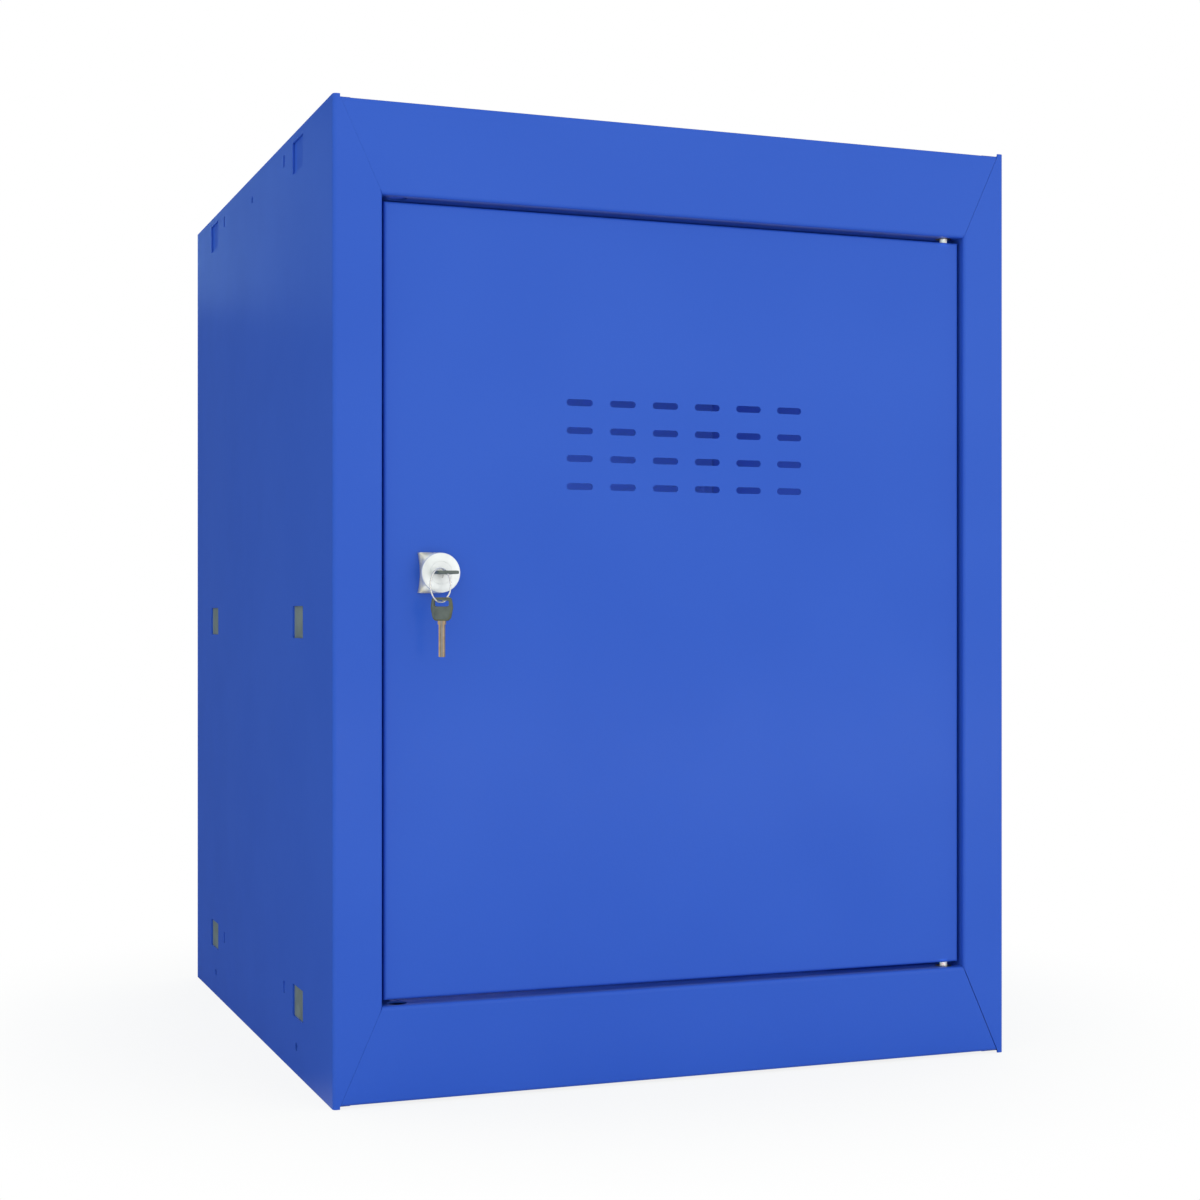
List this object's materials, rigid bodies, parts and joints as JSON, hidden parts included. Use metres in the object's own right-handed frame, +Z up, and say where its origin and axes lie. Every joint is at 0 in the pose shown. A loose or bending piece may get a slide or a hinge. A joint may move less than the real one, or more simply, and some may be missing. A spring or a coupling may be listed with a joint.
{
  "type": "cube locker",
  "caption": "Blue steel cube locker with a framed front, vented hinged door, cam lock with keys on a ring, and hook slots in its sides.",
  "frame": {"origin": "centre of the base footprint: midway between the side panels, 200 mm behind the front face of the door frame, on the plane that the side panels' end flanges rest on", "axes": "+X to the right seen from the front, towards the hinge side; +Y from the door to the back; +Z up"},
  "size_m": [0.38, 0.4222, 0.5],
  "materials": {
    "blue_coat": "satin powder coat",
    "zinc": "galvanised",
    "chrome": "polished",
    "nickel": "nickel plated",
    "white_nylon": "moulded",
    "black_nylon": "moulded",
    "grey_plastic": "moulded",
    "black_rubber": "moulded"
  },
  "bodies": {
    "cabinet": {"left_side_panel": "blue_coat", "right_side_panel": "blue_coat", "top_panel": "blue_coat", "bottom_panel": "blue_coat", "back_panel": "blue_coat", "left_front_middle_plate": "zinc", "left_rear_middle_plate": "zinc", "left_front_base_plate": "zinc", "left_rear_base_plate": "zinc", "right_front_middle_plate": "zinc", "right_rear_middle_plate": "zinc", "right_front_base_plate": "zinc", "right_rear_base_plate": "zinc", "back_rivets": "blue_coat", "door_buffers": "black_rubber", "upper_hinge_bush": "black_nylon", "lower_hinge_bush": "black_nylon"},
    "door": {"door_panel": "blue_coat", "upper_hinge_pin": "white_nylon", "lower_hinge_pin": "white_nylon", "lock_housing": "chrome", "lock_nut": "zinc"},
    "lock": {"lock_plug": "chrome", "lock_cam": "zinc", "cam_washer": "zinc", "cam_screw": "zinc"},
    "key": {"key_blade": "nickel", "key_bow": "grey_plastic"},
    "ring": {"key_ring": "chrome"},
    "spare_key": {"spare_key_blade": "nickel", "spare_key_bow": "grey_plastic"}
  },
  "joints": [
    {"name": "door_hinge", "type": "hinge", "parent": "cabinet", "child": "door", "pos_m": [0.157, -0.1915, 0.25], "axis": [0, 0, 1], "range_deg": [0, 105]},
    {"name": "lock_turn", "type": "hinge", "parent": "door", "child": "lock", "pos_m": [-0.1359, -0.1965, 0.2645], "axis": [0, -1, 0], "range_deg": [0, 90]},
    {"name": "key_slide", "type": "slide", "parent": "lock", "child": "key", "axis": [0, -1, 0], "range_m": [0, 0.018]},
    {"name": "ring_plumb", "type": "hinge", "parent": "key", "child": "ring", "pos_m": [-0.1359, -0.21685, 0.2645], "axis": [0, -1, 0], "range_deg": [-90, 0]},
    {"name": "spare_swing", "type": "hinge", "parent": "ring", "child": "spare_key", "pos_m": [-0.1401, -0.21685, 0.24966], "axis": [0.7986, 0.6018, 0], "range_deg": [-45, 45]}
  ],
  "couplings": [
    {"joint": "ring_plumb", "follows": "lock_turn", "ratio": -1}
  ]
}
